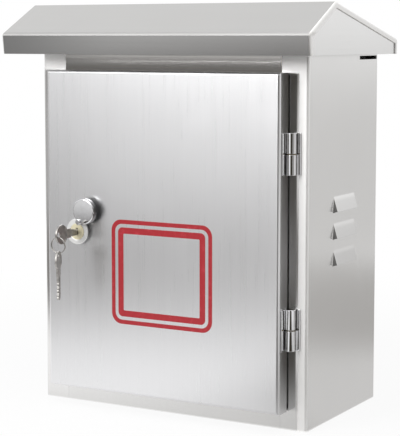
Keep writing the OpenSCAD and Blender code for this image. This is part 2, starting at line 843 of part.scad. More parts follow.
// Moulded breaker case with hooks over the rail, a toggle slot, terminal wells and cable entries at both ends
module breaker_case(poles, toggle_w) {
    width = poles * pole_w;
    stub_bore = toggle_w + 4 * toggle_stub_reach;
    hook_low = rail_w / 2 + hook_fit;
    difference() {
        rotate([0, -90, 0]) linear_extrude(width, center = true) polygon([
            [breaker_back, hook_in], [breaker_back, breaker_half_h], [breaker_shoulder, breaker_half_h],
            [breaker_shoulder, nose_half_h], [breaker_nose, nose_half_h], [breaker_nose, -nose_half_h],
            [breaker_shoulder, -nose_half_h], [breaker_shoulder, -breaker_half_h],
            [breaker_back, -breaker_half_h], [breaker_back, -hook_in], [hook_front, -hook_in],
            [hook_front, -hook_low], [rail_h, -hook_low], [rail_h, hook_low],
            [hook_front, hook_low], [hook_front, hook_in]
        ]);
        translate([-toggle_w / 2, -slot_half_h, slot_floor]) cube([toggle_w, 2 * slot_half_h, breaker_nose]);
        translate([0, 0, toggle_pivot]) rotate([0, 90, 0])
            cylinder(r = toggle_stub_r + toggle_stub_fit, h = stub_bore, center = true);
        at_terminals(poles) cylinder(r = terminal_r + terminal_fit, h = terminal_sink + 1);
        for (pole = [0:poles - 1], side = [0, 1]) mirror([0, side, 0])
            translate([pole_x(pole, poles) - entry_w / 2, breaker_half_h - entry_depth, entry_low])
                cube([entry_w, 2 * entry_depth, entry_t]);
    }
}

// Places its children at the floor of each terminal well of a breaker
module at_terminals(poles) {
    for (pole = [0:poles - 1], side = [-1, 1])
        translate([pole_x(pole, poles), side * terminal_at, breaker_shoulder - terminal_sink]) children();
}

module main_breaker() {
    color("whitesmoke") on_plate(main_x(), rail_z) breaker_case(2, main_slot_w);
}

module branch_breaker(i) {
    color("whitesmoke") on_plate(branch_x(i), rail_z) breaker_case(1, branch_slot_w);
}

module terminal_screws() {
    color("darkgray") {
        on_plate(main_x(), rail_z) at_terminals(2) cylinder(r = terminal_r, h = terminal_t);
        for (i = [1:branch_count])
            on_plate(branch_x(i), rail_z) at_terminals(1) cylinder(r = terminal_r, h = terminal_t);
    }
}

// Toggle on its pivot stubs, with a tapered lever, turned down to its off place
module toggle(slot_w) {
    width = slot_w - 2 * toggle_side;
    stubs = slot_w + 2 * toggle_stub_reach;
    reach = toggle_tip - toggle_pivot - toggle_tip_r;
    translate([0, 0, toggle_pivot]) rotate([-toggle_off, 0, 0]) {
        rotate([0, 90, 0]) cylinder(r = toggle_hub_r, h = width, center = true);
        rotate([0, 90, 0]) cylinder(r = toggle_stub_r, h = stubs, center = true);
        rotate([0, -90, 0]) linear_extrude(width, center = true) {
            polygon([[0, -toggle_t / 2], [reach, -toggle_tip_r], [reach, toggle_tip_r], [0, toggle_t / 2]]);
            translate([reach, 0]) circle(r = toggle_tip_r);
        }
    }
}

module main_toggle() {
    color("dimgray") on_plate(main_x(), rail_z) toggle(main_slot_w);
}

module branch_toggle(i) {
    color("dimgray") on_plate(branch_x(i), rail_z) toggle(branch_slot_w);
}

// Places its children at each clamp of a terminal bar, at the middle of the bar's thickness
module at_clamps() {
    first = -(bar_screw_count - 1) / 2;
    for (i = [0:bar_screw_count - 1])
        translate([(first + i) * bar_screw_pitch, 0, bar_stand + bar_t / 2]) children();
}

// Terminal bar with a row of conductor holes, its screws and the feet that carry it, each at the given height
module bar(z) {
    on_plate(0, z) difference() {
        translate([-bar_len / 2, -bar_h / 2, bar_stand]) cube([bar_len, bar_h, bar_t]);
        at_clamps() rotate([90, 0, 0]) cylinder(r = bar_hole_r, h = 2 * bar_h, center = true);
    }
}

module bar_feet(z) {
    foot_x = bar_len / 2 - bar_foot_w / 2;
    on_plate(0, z) for (x = [-foot_x, foot_x])
        translate([x - bar_foot_w / 2, -bar_h / 2 - 2, 0]) cube([bar_foot_w, bar_h + 4, bar_stand]);
}

module bar_screws(z) {
    on_plate(0, z) at_clamps() translate([0, 0, bar_t / 2]) cylinder(r = bar_screw_r, h = bar_screw_h);
}

module neutral_bar() {
    color("goldenrod") bar(neutral_z);
}

module neutral_insulators() {
    color("steelblue") bar_feet(neutral_z);
}

module neutral_screws() {
    color("silver") bar_screws(neutral_z);
}

module earth_bar() {
    color("goldenrod") bar(earth_z);
}

module earth_bar_feet() {
    color("silver") bar_feet(earth_z);
}

module earth_screws() {
    color("silver") bar_screws(earth_z);
}

body_wrapper();
top_panel();
bottom_panel();
roof_sheet();
roof_gable_left();
roof_gable_right();
roof_soffit();
roof_weld_nuts();
roof_bolts();
cable_grommets();
hinge_frame_leaves();
hinge_pins();
hinge_washers();
plate_studs();
plate_nuts();
mounting_plate();
din_rail();
rail_screws();
main_breaker();
branch_breaker(1);  // branch_breaker_1
branch_breaker(2);  // branch_breaker_2
branch_breaker(3);  // branch_breaker_3
branch_breaker(4);  // branch_breaker_4
terminal_screws();
neutral_bar();
neutral_insulators();
neutral_screws();
earth_bar();
earth_bar_feet();
earth_screws();
door_panel();
door_seal();
hinge_door_leaves();
lock_housing();
lock_nut();
cover_rivet();
lock_cover();
lock_plug();
lock_cam();
cam_screw();
lock_key();
key_ring();
spare_key();
main_toggle();
branch_toggle(1);  // branch_toggle_1
branch_toggle(2);  // branch_toggle_2
branch_toggle(3);  // branch_toggle_3
branch_toggle(4);  // branch_toggle_4
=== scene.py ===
"""Looks of the electrical distribution cabinet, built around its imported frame."""

import json
import math

import bmesh
import bpy
from bpy.props import FloatProperty, FloatVectorProperty, IntProperty, PointerProperty
from mathutils import Matrix, Vector

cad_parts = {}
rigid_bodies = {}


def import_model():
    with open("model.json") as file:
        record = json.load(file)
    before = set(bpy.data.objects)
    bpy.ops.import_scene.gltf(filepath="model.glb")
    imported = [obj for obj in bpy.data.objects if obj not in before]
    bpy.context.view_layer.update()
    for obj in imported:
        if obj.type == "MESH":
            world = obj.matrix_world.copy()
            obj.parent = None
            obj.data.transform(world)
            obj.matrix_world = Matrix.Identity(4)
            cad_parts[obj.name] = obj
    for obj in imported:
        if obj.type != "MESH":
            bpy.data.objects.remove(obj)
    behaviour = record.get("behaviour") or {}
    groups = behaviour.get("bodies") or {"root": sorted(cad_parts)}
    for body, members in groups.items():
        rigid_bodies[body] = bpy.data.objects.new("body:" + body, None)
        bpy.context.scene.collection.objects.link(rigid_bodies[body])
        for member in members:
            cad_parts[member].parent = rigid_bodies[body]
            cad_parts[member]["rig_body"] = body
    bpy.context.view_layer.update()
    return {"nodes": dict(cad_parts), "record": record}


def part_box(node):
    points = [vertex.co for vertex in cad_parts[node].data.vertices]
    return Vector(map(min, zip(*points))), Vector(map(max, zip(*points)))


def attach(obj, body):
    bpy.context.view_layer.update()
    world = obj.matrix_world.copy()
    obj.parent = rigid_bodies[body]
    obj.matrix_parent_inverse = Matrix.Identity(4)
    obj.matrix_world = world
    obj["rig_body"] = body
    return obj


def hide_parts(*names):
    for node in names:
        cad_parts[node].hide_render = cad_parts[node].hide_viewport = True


bl_info = {
    "name": "Distribution cabinet",
    "version": (1, 0, 0),
    "blender": (4, 5, 0),
    "location": "View3D > Sidebar > Cabinet",
    "description": "Finishes a stainless distribution cabinet and sets up its studio",
    "category": "Object",
}

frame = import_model()
NODES = frame["nodes"]
BODY_OF = {name: node["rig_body"] for name, node in NODES.items()}
SLOT_OF = {part["node"]: part["material_slot"] for part in frame["record"]["subparts"]}

CAD_POINT = 2e-6  # points of a CAD mesh that are nearer than this are one
SAME_POINT = 1e-6  # the same for a mesh built here
TOUCH = 2e-5  # faces that are nearer than this lie on one plane
FACING = (math.radians(90), 0, 0)  # turns what is drawn flat so that it faces the front
FLAT, SHARP = math.radians(0.6), math.radians(38)  # angles of faces that are one, and of edges that show
ACROSS, DEEP, UP = range(3)  # axes of the brush lines
WHITE = (1, 1, 1, 1)


def number(name, default, description, **more):
    """A number that a user may change."""
    return FloatProperty(name=name, description=description, default=default, **more)


def length(name, default, description, least=0):
    """A length in metres that a user may change."""
    return number(name, default, description, unit="LENGTH", min=least, precision=5)


def colour(name, default, description):
    """A linear colour that a user may change."""
    return FloatVectorProperty(
        name=name, description=description, default=default, subtype="COLOR", size=3, min=0, max=1
    )


class CabinetSizes(bpy.types.PropertyGroup):
    """Sizes of the details that the finish adds to the solids."""

    fascia: length("Fascia", 0.020, "Height of the roof's front edge below its fold")
    sheet_edge: length("Sheet edge", 0.0002, "Rounding of the cut edges of the steel sheets")
    louvre_fold: length("Louvre fold", 0.0006, "Radius of the folds of the pressed louvres")
    louvre_reach: length("Louvre reach", 0.045, "Half the length of wall that holds the louvres")
    roof_end: length("Roof end fold", 0.0022, "Radius of the fold round the roof's two ends")
    hinge_edge: length("Hinge edge", 0.00045, "Rounding of the hinge knuckles and leaves")
    lock_edge: length("Lock edge", 0.0006, "Rounding of the lock's bezel and rivet")
    plug_edge: length("Plug edge", 0.00035, "Rounding of the lock's plug")
    cap_edge: length("Dust cap edge", 0.0003, "Rounding of the dust cap's sharp edges")
    key_edge: length("Key edge", 0.00025, "Rounding of the keys' edges")
    case_edge: length("Case edge", 0.0005, "Rounding of the moulded breaker cases")
    toggle_edge: length("Toggle edge", 0.0007, "Rounding of the toggles")
    label_x: length("Label place X", 0.002, "Middle of the printed frame across the door", least=-1)
    label_z: length("Label place Z", 0.141, "Middle of the printed frame above the body's underside")
    label_width: length("Label width", 0.114, "Width of the printed frame")
    label_height: length("Label height", 0.104, "Height of the printed frame")
    label_corner: length("Label corner", 0.011, "Outer corner radius of the printed frame")
    label_outer: length("Outer band", 0.0042, "Width of the printed frame's outer band")
    label_gap: length("Band gap", 0.0034, "Bare steel between the two bands")
    label_inner: length("Inner band", 0.0062, "Width of the printed frame's inner band")
    print_film: length("Print film", 0.00006, "Thickness of the printed film")
    field_film: length("Field film", 0.00008, "Thickness of the print on the breakers")
    slot_width: length("Screw slot", 0.0009, "Width of the slot in a screw head")
    slot_depth: length("Slot depth", 0.0007, "Depth of the slot in a screw head")
    screw_edge: length("Screw edge", 0.00018, "Rounding of the screw heads")
    fixing_edge: length("Fixing edge", 0.0003, "Rounding of the plate, the bolts, the nuts and the studs")
    rail_edge: length("Rail edge", 0.00025, "Rounding of the breakers' rail")
    bar_edge: length("Bar edge", 0.0006, "Rounding of the terminal bars and the grommets")
    foot_edge: length("Foot edge", 0.0008, "Rounding of the feet of the terminal bars")
    pin_edge: length("Pin edge", 0.0001, "Rounding of the hinge pins and washers")
    cam_edge: length("Cam edge", 0.0004, "Rounding of the lock's nut, cam and screw")
    seal_strip: length("Seal strip", 0.010, "Width of the door's foam seal")
    seal_corner: length("Seal corner", 0.006, "Radius of the seal's path at the door's corners")
    seal_edge: length("Seal edge", 0.0022, "Rounding of the seal's section")


class CabinetFinishes(bpy.types.PropertyGroup):
    """Colours of the finishes."""

    door_steel: colour("Door steel", (0.835, 0.835, 0.845), "Satin stainless of the door")
    body_steel: colour("Body steel", (0.830, 0.825, 0.818), "Satin stainless of the body")
    roof_steel: colour("Roof steel", (0.565, 0.560, 0.553), "Satin stainless of the roof")
    gable_steel: colour("Gable steel", (0.800, 0.797, 0.792), "Satin stainless of the roof's gables")
    rail_steel: colour("Top rail steel", (0.940, 0.912, 0.885), "Mill-finished stainless over the door")
    bright_metal: colour("Lock chrome", (0.78, 0.78, 0.79), "Chrome of the lock and the hinges")
    key_metal: colour("Key metal", (0.47, 0.455, 0.435), "Nickelled brass of the keys")
    brass: colour("Brass", (0.80, 0.66, 0.36), "Brass of the terminal bars")
    plug_brass: colour("Plug brass", (0.86, 0.80, 0.58), "Pale nickel brass of the lock's plug")
    # A near-black brass that stands for the dark gap between the hinge knuckles: painted shade.
    shaded_washer_brass: colour("Washer brass", (0.20, 0.17, 0.12), "Oiled brass of the hinge washers")
    bezel: colour("Bezel chrome", (0.88, 0.88, 0.87), "Satin chrome of the lock's bezel")
    foam: colour("Foam", (0.80, 0.80, 0.78), "Pale foam of the door's seal")
    zinc: colour("Zinc plating", (0.60, 0.61, 0.60), "Zinc plating of the fasteners and the rail")
    plate_coat: colour("Plate coating", (0.74, 0.74, 0.72), "Powder coating of the mounting plate")
    rubber: colour("Rubber", (0.022, 0.022, 0.024), "Rubber of the grommets")
    case: colour("Case plastic", (0.70, 0.70, 0.68), "Moulded plastic of the breaker cases")
    toggle: colour("Toggle plastic", (0.030, 0.032, 0.036), "Moulded plastic of the toggles")
    insulator: colour("Insulator plastic", (0.045, 0.16, 0.42), "Moulded plastic of the neutral bar's feet")
    field_pale: colour("Rating field", (0.80, 0.80, 0.78), "Blank rating field of a breaker")
    field_grey: colour("Field grey", (0.16, 0.17, 0.19), "Lines and window frames of a breaker's print")
    field_green: colour("Window green", (0.05, 0.34, 0.12), "State window of a breaker")
    field_blue: colour("Foot band", (0.05, 0.17, 0.38), "Coloured band at the foot of a breaker")
    print_red: colour("Print red", (0.376, 0.013, 0.021), "Red of the printed frame on the door")


class CabinetStudio(bpy.types.PropertyGroup):
    """Camera and light."""

    lens: number("Lens", 122.24, "Focal length of the camera", min=1)
    shift: number("Shift", -0.0757, "Vertical shift of the lens", precision=4)
    camera_at: FloatVectorProperty(name="Camera place", description="Where the camera stands", size=3,
                                   default=(0.741706, -1.318197, 0.371564), subtype="TRANSLATION")
    tilt: number("Tilt", math.radians(90 - 5.699), "Angle of the camera from straight down", subtype="ANGLE")
    turn: number("Turn", math.radians(29.762), "Turn of the camera about the upright", subtype="ANGLE")
    floor_colour: colour("Floor", (0.90, 0.90, 0.90), "Colour of the studio floor")
    dome: number("Dome", 0.62, "Strength of the soft light from all round", min=0)
    overhead: number("Overhead lamp", 8.0, "Power of the lamp above", unit="POWER")
    front: number("Front lamp", 7.0, "Power of the lamp in front", unit="POWER")
    dark_room: colour("Dark room", (0.040, 0.035, 0.026), "Unlit room in front that the metal reflects")
    horizon_shade: colour("Horizon shade", (0.15, 0.14, 0.13), "Unlit end of the room that the door reflects")
    front_shade: colour("Front shade", (0.265, 0.257, 0.252), "Floor in front that the door reflects")
    left_shade: colour("Left shade", (0.38, 0.38, 0.38), "Shade on the left that the door reflects")
    right_shade: colour("Right shade", (0.36, 0.35, 0.34), "Shade on the right that the folds reflect")
    side_wall: colour("Side wall", (0.66, 0.655, 0.65), "Wall on the right that the side reflects")
    side_floor: colour("Side floor", (0.45, 0.44, 0.43), "Floor on the right that the side reflects")
    spin_seed: IntProperty(name="Screw turn seed", default=4,
                           description="Seed of the turn of each screw's slot")


class Wire:
    """One socket of a node tree, which takes part in sums as a number does."""

    def __init__(self, bench, socket):
        self.bench = bench
        self.socket = socket

    def sum_with(self, how, first, second):
        return self.bench.add("ShaderNodeMath", {0: first, 1: second}, operation=how)["Value"]

    def __add__(self, other):
        return self.sum_with("ADD", self, other)

    def __radd__(self, other):
        return self.sum_with("ADD", other, self)

    def __sub__(self, other):
        return self.sum_with("SUBTRACT", self, other)

    def __rsub__(self, other):
        return self.sum_with("SUBTRACT", other, self)

    def __mul__(self, other):
        return self.sum_with("MULTIPLY", self, other)

    def __rmul__(self, other):
        return self.sum_with("MULTIPLY", other, self)

    def __abs__(self):
        return self.bench.add("ShaderNodeMath", {0: self}, operation="ABSOLUTE")["Value"]

    def between(self, low, high):
        """0 below low and 1 above high, with a soft step between them."""
        made = self.bench.add(
            "ShaderNodeMapRange",
            {"Value": self, "From Min": low, "From Max": high}, interpolation_type="SMOOTHSTEP",
        )
        return made["Result"]

    def past(self, line, start, fade):
        """0 up to a start beyond a line and 1 from a fade further on."""
        return self.between(line + start, line + start + fade)

    def up_to(self, line, start, fade):
        """The rest of past."""
        return 1 - self.past(line, start, fade)


class Made:
    """A node just added, whose outputs come out as wires."""

    def __init__(self, bench, node):
        self.bench = bench
        self.node = node

    def __getitem__(self, key):
        return Wire(self.bench, self.node.outputs[key])


class Bench:
    """Where the nodes of one material, world or geometry tree are put together."""

    def __init__(self, tree):
        self.tree = tree
        tree.nodes.clear()

    def add(self, kind, sockets=None, **settings):
        """Adds a node: its settings first, then the values or wires of its sockets, or a list of wires."""
        node = self.tree.nodes.new(kind)
        for key, value in settings.items():
            setattr(node, key, value)
        for key, value in (sockets or {}).items():
            if isinstance(value, (Wire, list)):
                for wire in value if isinstance(value, list) else [value]:
                    self.tree.links.new(wire.socket, node.inputs[key])
            else:
                node.inputs[key].default_value = value
        return Made(self, node)

    def place(self, scale=(1, 1, 1), at=(0, 0, 0), turn=(0, 0, 0)):
        """Object coordinates, scaled, turned and moved."""
        spot = self.add("ShaderNodeTexCoord")["Object"]
        made = self.add("ShaderNodeMapping", {
            "Vector": spot, "Scale": scale, "Location": at, "Rotation": turn,
        })
        return made["Vector"]

    def axes(self):
        """Object coordinates, a wire for each axis."""
        made = self.add("ShaderNodeSeparateXYZ", {0: self.place()})
        return made["X"], made["Y"], made["Z"]

    def noise(self, scale, detail=2.0, rough=0.5, **kw):
        """Fractal noise on object coordinates, with a count of features per metre along each axis."""
        sizes = scale if hasattr(scale, "__len__") else (scale,) * 3
        made = self.add("ShaderNodeTexNoise", {
            "Vector": self.place(sizes, **kw), "Scale": 1.0, "Detail": detail, "Roughness": rough,
        })
        return made["Fac"]

    def tint(self, share, first, second):
        """A colour between two colours."""
        return self.add("ShaderNodeMix", {0: share, 6: first, 7: second}, data_type="RGBA")[2]

    def relief(self, height):
        """Normal of a surface whose height is given in metres."""
        return self.add("ShaderNodeBump", {"Strength": 1.0, "Distance": 1.0, "Height": height})["Normal"]

    def seen(self):
        """1 for what the camera sees, straight, mirrored or through glass, and 0 for soft light."""
        path = self.add("ShaderNodeLightPath")
        return (path["Is Camera Ray"] + path["Is Glossy Ray"] + path["Is Transmission Ray"]).between(0, 1)

    def mixed(self, share, first, second):
        """A surface between two surfaces."""
        return self.add("ShaderNodeMixShader", {0: share, 1: first, 2: second})["Shader"]

    def glow(self, rgba):
        """A surface that shines with one colour."""
        return self.add("ShaderNodeEmission", {"Color": rgba, "Strength": 1.0})["Emission"]

    def vector(self, **parts):
        """A vector of its parts."""
        return self.add("ShaderNodeCombineXYZ", parts)["Vector"]

    def rounded_curve(self, width, height, corner, steps):
        """A rectangle with rounded corners, as a closed curve."""
        square = self.add("GeometryNodeCurvePrimitiveQuadrilateral", {"Width": width, "Height": height})
        made = self.add("GeometryNodeFilletCurve", {
            "Curve": square["Curve"], "Radius": corner, "Count": steps,
        }, mode="POLY")
        return made["Curve"]

    def swept(self, path, section, capped):
        """A section that is swept along a path."""
        made = self.add("GeometryNodeCurveToMesh", {
            "Curve": path, "Profile Curve": section, "Fill Caps": capped,
        })
        return made["Mesh"]

    def moved(self, geometry, by, turn=(0, 0, 0)):
        """Geometry that is turned and moved."""
        made = self.add("GeometryNodeTransform", {"Geometry": geometry, "Translation": by, "Rotation": turn})
        return made["Geometry"]

    def set_on(self, points, piece):
        """A copy of a piece at each point, facing the front."""
        made = self.add("GeometryNodeInstanceOnPoints", {
            "Points": points, "Instance": piece, "Rotation": FACING,
        })
        return made["Instances"]


def shade(rgb, factor):
    """A colour made lighter or darker, with its alpha."""
    return tuple(min(1.0, c * factor) for c in rgb) + (1.0,)


def painted(name, build):
    """A new material with the surface that build puts together."""
    made = bpy.data.materials.new(name)
    made.use_nodes = True
    bench = Bench(made.node_tree)
    bench.add("ShaderNodeOutputMaterial", {"Surface": build(bench)})
    return made


def recipe(build):
    """Makes a finish of its recipe: the material of a name, put together when it is first asked for."""

    def finish_named(name, *given, **more):
        def surface(bench):
            return bench.add("ShaderNodeBsdfPrincipled", build(bench, *given, **more))["BSDF"]

        return bpy.data.materials.get(name) or painted(name, surface)

    return finish_named


# Where the steel's finish, its painted shade and its painted highlights change: a start beyond a line, and
# how far the change fades, in metres
FLANGE = (0.0012, 0.0018)  # behind the body's front
POLISHED = (0.1399, 0.0008)  # from the middle towards the hinge corner
DOOR_TOP = (-0.002, 0.004)  # above the door's top
HINGE_SIDE = (0.100, 0.020)  # from the middle towards the hinges
DOOR_FOOT = (0.0, 0.004)  # above the door's foot
# The louvres and their end cheeks are darkened with painted shade between these lines
FLAP = (0.0016, 0.0014)  # out from the inside of the wall
CHEEK_OUT = (0.0014, 0.0006)  # out from the inside of the wall
CHEEK_FROM, CHEEK_TO = (0.0236, 0.0006), (0.028, 0.001)  # from the middle of a louvre
FRONT_HALF = (-0.01, 0.02)  # behind the middle of the body
# The painted shade on the roof's front edge fades in over these lengths
FASCIA_SHADE = (-0.0005, 0.0013)  # above the fold over the roof's front edge
FOLD_FROM, FOLD_TO = (-0.0025, 0.0015), (0.0008, 0.0008)  # above the same fold
# The painted shade on the lock's walls fades in over this length
WALL_SHADE_FADE = 0.0008  # behind the front of the lock's parts


def front_flange(bench):
    """Share of the body's front flanges, of what the door's edge polishes there and of the hinge side."""
    x, y, z = bench.axes()
    foot, top = (corner.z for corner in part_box("door_panel"))
    flange = y.up_to(-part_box("body_wrapper")[1].y, *FLANGE)
    by_door = x.up_to(0, *POLISHED) * z.up_to(top, *DOOR_TOP)
    hinge_side = x.past(0, *HINGE_SIDE) * z.past(foot, *DOOR_FOOT)
    return flange, by_door, hinge_side


def frame_gloss(bench):
    """Roughness of the body: satin, polished where the door closes and dull along the hinge corner."""
    satin, dulled, polish = 0.22, 0.33, 0.43
    flange, by_door, _ = front_flange(bench)
    return satin + flange * (dulled - polish * by_door)


def door_edge_shade(bench):
    """Share of the part of the hinge flange beside the door's edge, which is polished and darkened with
    painted shade.
    """
    flange, by_door, hinge_side = front_flange(bench)
    return flange * by_door * hinge_side


def corner_painted_highlight(bench):
    """Share of the dulled front corner, made paler than the rest of the body as a painted highlight."""
    flange, by_door, _ = front_flange(bench)
    return flange * (1 - by_door)


def louvre_flap_shade(bench):
    """Share of the pressed louvres, which stand out from the body's sides and are darkened with painted
    shade.
    """
    return abs(bench.axes()[0]).past(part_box("bottom_panel")[1].x, *FLAP)


def louvre_cheek_shade(bench):
    """Share of the louvres' end cheeks, darkened with painted shade."""
    x, y, _ = bench.axes()
    end = abs(y).past(0, *CHEEK_FROM) * abs(y).up_to(0, *CHEEK_TO)
    return abs(x).past(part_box("bottom_panel")[1].x, *CHEEK_OUT) * end


def roof_fold():
    """Height of the fold over the roof's front edge."""
    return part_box("roof_sheet")[0].z + bpy.context.scene.cabinet_sizes.fascia


def fascia_painted_shade(bench):
    """Share of the painted shade that darkens the roof's front edge."""
    _, y, z = bench.axes()
    return y.up_to(0, *FRONT_HALF) * z.up_to(roof_fold(), *FASCIA_SHADE)


def eave_fold(bench):
    """Share of the fold over the roof's front edge, which is made rougher and darkened with painted shade to
    dim its highlight.
    """
    _, y, z = bench.axes()
    return z.past(roof_fold(), *FOLD_FROM) * z.up_to(roof_fold(), *FOLD_TO) * y.up_to(0, *FRONT_HALF)


def roof_ends(bench):
    """Share of the folds at the roof's ends, rubbed dull and made pale as a painted highlight."""
    fold = bpy.context.scene.cabinet_sizes.roof_end
    return abs(bench.axes()[0]).past(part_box("roof_sheet")[1].x, -fold, 0.5 * fold)


def roof_gloss(bench):
    """Roughness of the roof: satin, dull on its folds."""
    satin, rubbed, rained = 0.17, 0.35, 0.40
    return satin + rubbed * roof_ends(bench) + rained * eave_fold(bench)


def rail_painted_shade(bench):
    """Share of the painted shade on the rail, towards the roof."""
    clean, full = 0.001, 0.003
    door_top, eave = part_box("door_panel")[1].z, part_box("roof_soffit")[0].z
    return bench.axes()[2].between(door_top + clean, eave - full)


@recipe
def brushed_steel(bench, rgb, gloss, along, wave=0.0010, tinges=()):
    """Satin stainless sheet: fine brush lines along one axis, handling patches and a slight wave."""
    dull = gloss(bench) if callable(gloss) else gloss

    def lines(across, run):
        return tuple(run if axis == along else across for axis in range(3))

    fine = bench.noise(lines(2600, 12), 2.0, 0.55)
    broad = bench.noise(lines(340, 3.5), 2.0, 0.5, at=(3.1, 5.7, 1.3))
    patch = bench.noise(11, 3.0, 0.5, at=(0.4, 2.2, 7.0))
    sag = bench.noise(5.5, 1.0, 0.4, at=(1.7, 0.3, 4.2))
    tone = 0.5 + 0.30 * (fine - 0.5) + 0.10 * (broad - 0.5) + 0.22 * (patch - 0.5)
    smear = patch.between(0.55, 0.75)
    steel = bench.tint(tone, shade(rgb, 0.90), shade(rgb, 1.10))
    for share, factor in tinges:
        steel = bench.tint(share(bench), steel, shade(rgb, factor))
    return {
        "Base Color": steel,
        "Roughness": dull * (1 + 0.25 * (fine - 0.5) + 0.12 * (broad - 0.5) + 0.10 * smear),
        "Metallic": 1.0,
        "Normal": bench.relief(fine * 0.4e-5 + broad * 0.2e-5 + sag * wave),
    }


@recipe
def bright_metal(bench, rgb, gloss, wall=None):
    """Chromed or polished metal with faint wiping marks, darkened with painted shade on the walls behind a
    front face.
    """
    cloud = bench.noise(160, 3.0, 0.55)
    wipe = bench.noise((900, 900, 90), 2.0, 0.6, turn=(0.5, 0.3, 0.4))
    metal = bench.tint(cloud, shade(rgb, 0.93), shade(rgb, 1.06))
    # Painted shade on the walls behind the front face
    if wall:
        metal = bench.tint(bench.axes()[1].past(wall, 0, WALL_SHADE_FADE), metal, shade(rgb, 0.30))
    return {
        "Base Color": metal,
        "Roughness": gloss + 0.05 * cloud.between(0.45, 0.75) + 0.05 * (wipe - 0.5),
        "Metallic": 1.0,
        "Normal": bench.relief(wipe * 1.5e-6 + cloud * 4e-6),
    }


@recipe
def key_metal(bench, rgb):
    """Nickelled key blank: milled lines, dulled where fingers hold it."""
    mill = bench.noise((1500, 260, 1500), 2.0, 0.6)
    worn = bench.noise(240, 3.0, 0.6)
    return {
        "Base Color": bench.tint(worn.between(0.35, 0.7), shade(rgb, 0.78), shade(rgb, 1.12)),
        "Roughness": 0.36 + 0.14 * worn.between(0.4, 0.7) + 0.08 * (mill - 0.5),
        "Metallic": 1.0,
        "Normal": bench.relief(mill * 4e-6 + worn * 8e-6),
    }


@recipe
def brass_metal(bench, rgb, gloss):
    """Turned or drawn brass, a little browned in patches."""
    drawn = bench.noise((60, 1400, 1400), 2.0, 0.6)
    brown = bench.noise(130, 4.0, 0.6).between(0.48, 0.72)
    return {
        "Base Color": bench.tint(brown, shade(rgb, 1.05), (rgb[0] * 0.72, rgb[1] * 0.62, rgb[2] * 0.50, 1.0)),
        "Roughness": gloss + 0.12 * brown + 0.10 * (drawn - 0.5),
        "Metallic": 1.0,
        "Normal": bench.relief(drawn * 5e-6),
    }


@recipe
def zinc_plating(bench, rgb):
    """Bright zinc plating with blue and yellow patches and a fine spangle."""
    patch = bench.noise(95, 3.0, 0.55)
    spangle = bench.noise(1500, 1.0, 0.5)
    cool = (rgb[0] * 0.90, rgb[1] * 0.96, rgb[2] * 1.06, 1.0)
    warm = (rgb[0] * 1.10, rgb[1] * 1.06, rgb[2] * 0.90, 1.0)
    return {
        "Base Color": bench.tint(patch.between(0.3, 0.7), cool, warm),
        "Roughness": 0.28 + 0.16 * patch.between(0.4, 0.8) + 0.10 * (spangle - 0.5),
        "Metallic": 1.0,
        "Normal": bench.relief(spangle * 3e-6),
    }


@recipe
def powder_coat(bench, rgb):
    """Powder coating with its orange peel and a little dust."""
    peel = bench.noise(750, 2.0, 0.5)
    dust = bench.noise(14, 4.0, 0.6)
    return {
        "Base Color": bench.tint(dust.between(0.35, 0.8), shade(rgb, 1.02), shade(rgb, 0.90)),
        "Roughness": 0.38 + 0.16 * dust.between(0.4, 0.8),
        "Normal": bench.relief(peel * 2.2e-5),
    }


@recipe
def moulded_plastic(bench, rgb, gloss=0.42):
    """Moulded plastic with a spark-eroded grain and slight flow marks."""
    grain = bench.noise(2600, 2.0, 0.6)
    flow = bench.noise((60, 60, 22), 3.0, 0.5)
    return {
        "Base Color": bench.tint(flow.between(0.3, 0.75), shade(rgb, 1.04), shade(rgb, 0.90)),
        "Roughness": gloss + 0.12 * (grain - 0.5) + 0.08 * (flow - 0.5),
        "Normal": bench.relief(grain * 8e-6),
    }


@recipe
def soft_rubber(bench, rgb):
    """Matt rubber with a fine cellular skin and a bloom of pale dust."""
    cell = bench.noise(1900, 2.0, 0.6)
    bloom = bench.noise(45, 4.0, 0.65)
    return {
        "Base Color": bench.tint(bloom.between(0.42, 0.85), shade(rgb, 1.0), shade(rgb, 1.5)),
        "Roughness": 0.66 + 0.18 * (cell - 0.5) + 0.10 * (bloom - 0.5),
        "Normal": bench.relief(cell * 1.6e-5),
    }


@recipe
def screen_print(bench, rgb):
    """Screen-printed enamel, a little thinner in places so that the brushed steel shows in its grain."""
    grain = bench.noise((1300, 1300, 9), 2.0, 0.55)
    mottle = bench.noise(230, 3.0, 0.6)
    thin = mottle.between(0.50, 0.85)
    return {
        "Base Color": bench.tint(thin, shade(rgb, 1.0), (rgb[0] * 1.35, rgb[1] * 2.6, rgb[2] * 2.4, 1.0)),
        "Roughness": 0.34 + 0.12 * (grain - 0.5) + 0.10 * thin,
        "Normal": bench.relief(grain * 1.0e-5 + mottle * 4e-6),
    }


